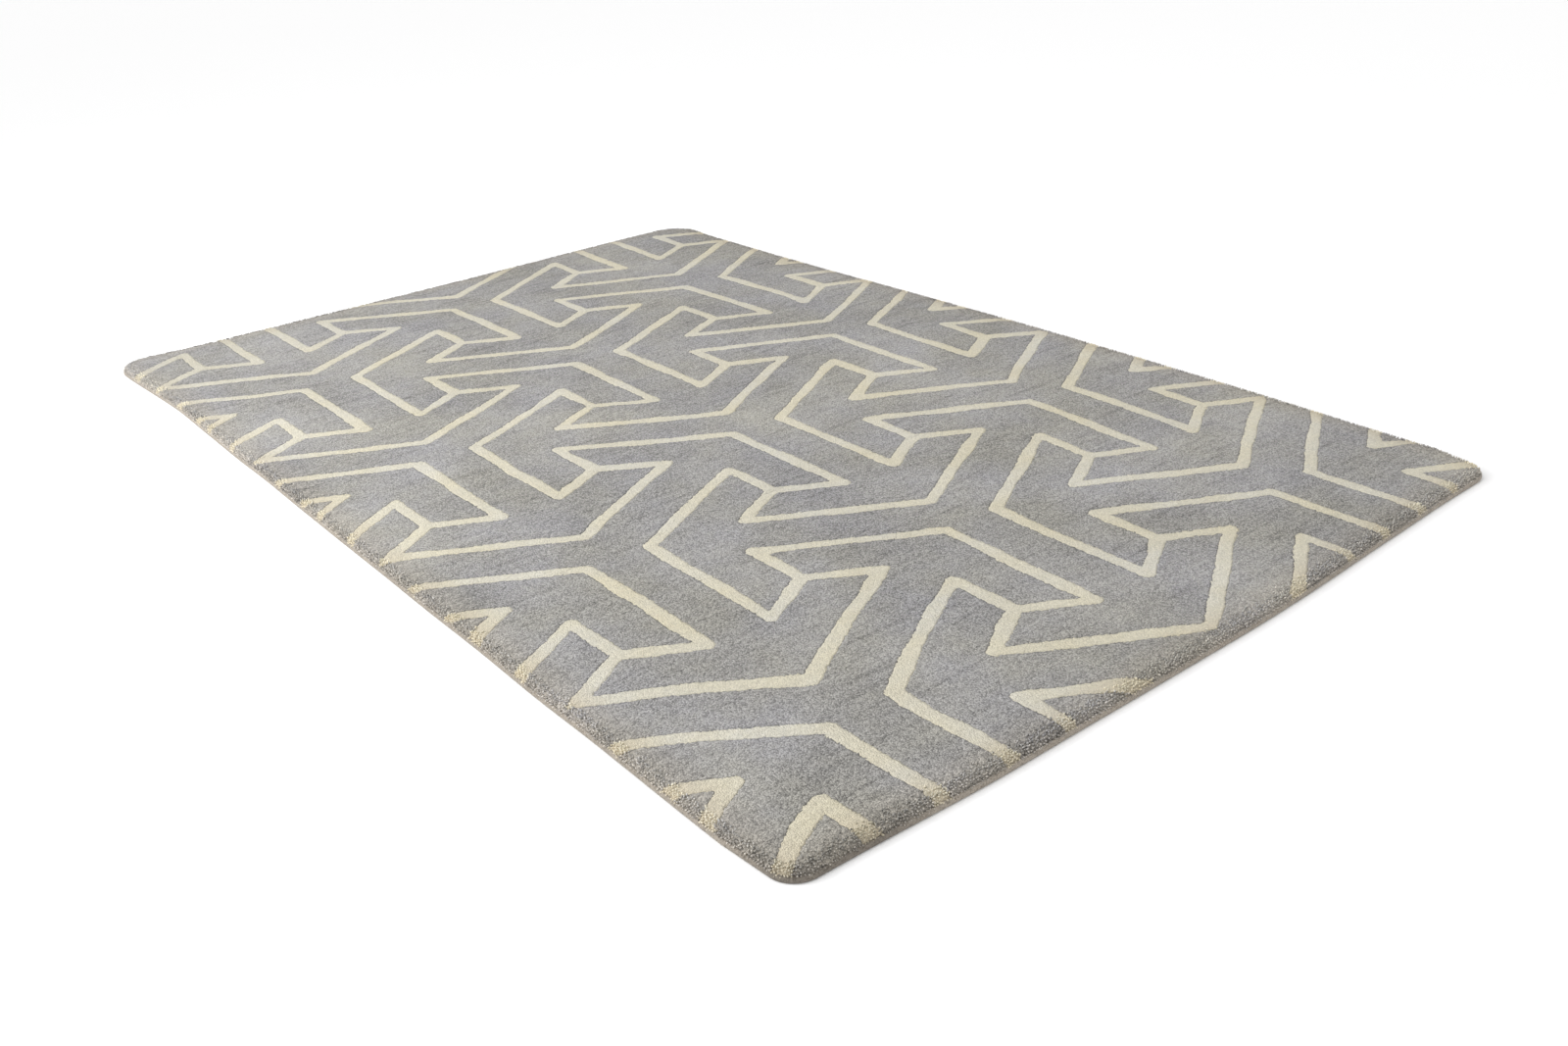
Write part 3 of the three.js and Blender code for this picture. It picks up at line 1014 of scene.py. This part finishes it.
def tuftTree():
    # yarn ends scattered on a surface, narrow at the root and domed at the tip
    grower = Grower("tufts", {"Spacing": "Float", "Radius": "Float", "Length": "Float", "Tilt": "Float",
                              "Seed": "Int", "Material": "Material"})
    seed = grower.given("Seed")
    cover = grower.node("GeometryNodeInputNamedAttribute", {"data_type": "FLOAT"}, {0: "cover"})
    scatter = grower.node("GeometryNodeDistributePointsOnFaces", {"distribute_method": "POISSON"}, {
        "Mesh": grower.given("Geometry"), "Distance Min": grower.given("Spacing"), "Density Max": 250000.0,
        "Density Factor": cover, "Seed": seed})
    upright = Wire(grower, scatter.socket.node.outputs["Rotation"])
    ball = grower.node("GeometryNodeMeshUVSphere", {}, {"Segments": 6, "Rings": 4, "Radius": 1.0})
    x, y, z = grower.apart(grower.node("GeometryNodeInputPosition"))
    ball = grower.store(ball, "tip", z * 0.5 + 0.5)
    flare = grower.given("Radius") * (0.80 + 0.28 * z)
    shaped = grower.node("ShaderNodeCombineXYZ", {}, {0: x * flare, 1: y * flare,
                                                      2: z * (grower.given("Length") * 0.5)})
    yarn = grower.node("GeometryNodeSetPosition", {}, {"Geometry": ball, "Position": shaped})
    tilt = grower.given("Tilt")
    lean = grower.random((-1, -1, -3), (1, 1, 3), seed + 1, "FLOAT_VECTOR")
    lean = grower.node("ShaderNodeVectorMath", {"operation": "SCALE"}, {0: lean, "Scale": tilt})
    lean = grower.node("FunctionNodeEulerToRotation", {}, {0: lean})
    turned = grower.node("FunctionNodeRotateRotation", {"rotation_space": "LOCAL"}, {0: upright, 1: lean})
    size = grower.random(0.75, 1.22, seed + 2)
    planted = grower.node("GeometryNodeInstanceOnPoints", {}, {
        "Points": scatter, "Instance": yarn, "Rotation": turned, "Scale": size})
    planted = grower.store(planted, "ownTone", grower.random(0.0, 1.0, seed + 3), "INSTANCE")
    return grower.finish(planted)


def tuftHost(side, white):
    # the rolled edge of the pile along one side, where it is this colour
    path, out = sideCurve(side, pile["inset"], tuft["step"])
    reach, below, sideRootShade, lift = (bySide(tuft[key], out[:, 0], out[:, 1]) for key in
                                    ("reach", "below", "rootShade", "lift"))
    shares = np.concatenate([[0, 0], np.linspace(0.08, 1, 9)])
    insets = reach[:, None] * shares
    heights = shoulderHeight(insets) - 0.0012 * shares
    heights[:, 0] -= below
    places = path[:, None, :] - out[:, None, :] * insets[:, :, None]
    points = np.concatenate([places, heights[:, :, None]], 2).reshape(-1, 3)
    index = np.arange(len(points)).reshape(heights.shape)
    faces = strip(index)[:, ::-1]
    middle = points[faces].mean(1)
    off = drawPattern(middle[:, 0], middle[:, 1])[0]
    faces = faces[(off < 0) == white]
    dark = darkCorner(path[:, 0], path[:, 1])
    patchy = 0.8 + 0.4 * smoothNoise(path[:, 0], path[:, 1], 0.05, tuft["seed"])
    width = len(shares)
    share = tuft["ivoryLift"] if white else 1
    attributes = {
        "cover": np.tile(np.clip(1.8 - 1.8 * shares, 0, 1), len(path)),
        "fromEdge": insets.ravel(),
        # painted shade in the gaps and painted light on each side, with more shade by the front left corner
        "rootShade": np.repeat(np.clip((sideRootShade + tuft["cornerRootShade"] * dark) * patchy, 0, 1), width),
        "lift": np.repeat(lift * share - tuft["cornerTuftShade"] * dark, width),
    }
    used, local = np.unique(faces, return_inverse=True)
    attributes = {key: values[used] for key, values in attributes.items()}
    look = "ivoryTuft" if white else "greyTuft"
    return addMesh("tuftHost", points[used], local.reshape(-1, 3), look, True, attributes)


def addTufts():
    tree = tuftTree()
    total = 0
    for side in ("front", "right", "back", "left"):
        for white in (False, True):
            colour = "ivory" if white else "grey"
            values = {"Spacing": tuft["spacing"], "Radius": tuft["radius"], "Length": tuft["length"],
                      "Tilt": tuft["tilt"], "Seed": tuft["seed"], "Material": looks[f"{colour}Tuft"]}
            piece = growOn(tuftHost(side, white), f"{colour}_edge_tufts_{side}", tree, values)
            piece.data.polygons.foreach_set("use_smooth", np.ones(len(piece.data.polygons), bool))
            settle(piece)
            total += sum(len(face.vertices) - 2 for face in piece.data.polygons)
    print("edge tufts made:", total, "triangles")


addTufts()


def clothSheet(name, inset, bottom, top, step, look, ripple=0.0, seed=0):
    # a closed cloth that fills the outline, drawn between its four sides
    sides = {side: sideCurve(side, inset, step)[0] for side in ("front", "right", "back", "left")}
    across = round(2 * halfWidth / step)
    along = round(2 * halfLength / step)
    front = evenly(sides["front"], across)
    back = evenly(sides["back"][::-1], across)
    left = evenly(sides["left"][::-1], along)
    right = evenly(sides["right"], along)
    u = np.linspace(0, 1, across + 1)[None, :, None]
    v = np.linspace(0, 1, along + 1)[:, None, None]
    middle = (1 - v) * front[None] + v * back[None] + (1 - u) * left[:, None] + u * right[:, None]
    middle = middle - (1 - u) * (1 - v) * front[0] - u * (1 - v) * front[-1]
    middle = (middle - (1 - u) * v * back[0] - u * v * back[-1]).reshape(-1, 2)
    lift = ripple * smoothNoise(middle[:, 0], middle[:, 1], 0.05, seed)
    upper = np.column_stack([middle, top - ripple + lift])
    lower = np.column_stack([middle, bottom + ripple + lift])
    index = np.arange(len(middle)).reshape(along + 1, across + 1)
    ring = np.concatenate([index[0, :-1], index[:-1, -1], index[-1, :0:-1], index[:0:-1, 0]])
    wall = np.stack([ring + len(middle), ring])
    wall = np.concatenate([wall, wall[:, :1]], axis=1)
    faces = np.concatenate([strip(index), strip(index)[:, ::-1] + len(middle), strip(wall)])
    smooth = np.arange(len(faces)) < 2 * len(strip(index))
    return addMesh(name, np.concatenate([upper, lower]), faces, look, smooth)


def evenly(path, count):
    # the path again as this many equal steps
    length = np.concatenate([[0], np.cumsum(np.hypot(*np.diff(path, axis=0).T))])
    places = np.linspace(0, length[-1], count + 1)
    return np.stack([np.interp(places, length, path[:, axis]) for axis in (0, 1)], 1)


layers = {
    "primary_backing": {"look": "primary", "slot": "tufting_cloth", "step": 0.03},
    "latex_coat": {"look": "latex", "slot": "latex", "step": 0.03},
    "reinforcing_scrim": {"look": "scrim", "slot": "scrim_net", "step": 0.03},
}


def addLayers():
    for name, layer in layers.items():
        piece = clothSheet(f"{name}_sheet", layerInset + 0.0005, layerBases[name], layerTops[name],
                           layer["step"], layer["look"])
        settle(piece, [name])


canvas = {"step": 0.016, "ripple": 0.00008, "bottom": 0.00015, "top": 0.00085}


def addBackingCloth():
    inset = tapeReach + 0.0003
    piece = clothSheet("backing_cloth_sheet", inset, canvas["bottom"], canvas["top"], canvas["step"],
                       "canvas", canvas["ripple"], 9)
    settle(piece, ["backing_cloth"])


tape = {
    "thickness": 0.0007,
    "bottom": 0.0002,
    "reach": 0.0338,
    "bend": 0.0022,
    "bulge": 0.0006,
    "lean": 0.0030,
    "step": 0.0042,
    "cornerShade": 0.46,
    "leftShade": 0.18,
}


def tapeProfile():
    # middle line of the tape across its width, as (inset, height), from the inner hem up the side
    half = tape["thickness"] / 2
    low = tape["bottom"] + half
    rise = tapeRise - half
    under = [(inset, low) for inset in np.linspace(tape["reach"], tape["bend"] + half, 7)]
    turn = np.radians(np.linspace(0, 90, 5))[1:]
    bend = [(tape["bend"] * (1 - math.sin(t)) + half, low + tape["bend"] * (1 - math.cos(t))) for t in turn]
    side = []
    for share in np.linspace(0, 1, 6)[1:]:
        inset = half - tape["bulge"] * math.sin(share * math.pi) + tape["lean"] * share ** 2
        side.append((inset, bend[-1][1] + share * (rise - bend[-1][1])))
    return np.array(under + bend + side)


def addTapes():
    profile = tapeProfile()
    ahead = np.gradient(profile, axis=0)
    ahead /= np.hypot(*ahead.T)[:, None]
    normal = np.stack([ahead[:, 1], -ahead[:, 0]], 1)
    half = tape["thickness"] / 2
    loop = np.concatenate([profile - normal * half, (profile + normal * half)[::-1]])
    across = np.concatenate([[0], np.cumsum(np.hypot(*np.diff(profile, axis=0).T))])
    across = np.concatenate([across, across[::-1]])
    for side in ("front", "right", "back", "left"):
        path, out = sideCurve(side, 0, tape["step"])
        count = len(path)
        points = path[:, None, :] - out[:, None, :] * loop[None, :, :1]
        heights = np.broadcast_to(loop[None, :, 1:], (count, len(loop), 1))
        points = np.concatenate([points, heights], 2).reshape(-1, 3)
        run = np.concatenate([[0], np.cumsum(np.hypot(*np.diff(path, axis=0).T))])
        index = np.arange(count * len(loop)).reshape(count, len(loop))
        closed = np.concatenate([index, index[:, :1]], 1)
        shell = strip(closed)
        caps = []
        for row, flip in ((index[0], False), (index[-1], True)):
            fan = strip(np.stack([row[:len(profile)], row[len(profile):][::-1]]))
            caps.append(fan[:, ::-1] if flip else fan)
        faces = np.concatenate([shell, *caps])
        smooth = np.arange(len(faces)) < len(shell)
        shaded = tape["cornerShade"] * darkCorner(path[:, 0], path[:, 1])
        shaded = shaded + tape["leftShade"] * np.clip(-out[:, 0], 0, 1) ** 2
        attributes = {"along": np.repeat(run, len(loop)), "across": np.tile(across, count),
                      "shaded": np.repeat(shaded, len(loop))}
        piece = addMesh(f"edge_tape_{side}", points, faces, "tape", smooth, attributes)
        settle(piece, [f"edge_binding_{side}"])


addLayers()
addBackingCloth()
addTapes()
print("cloths and tapes made")
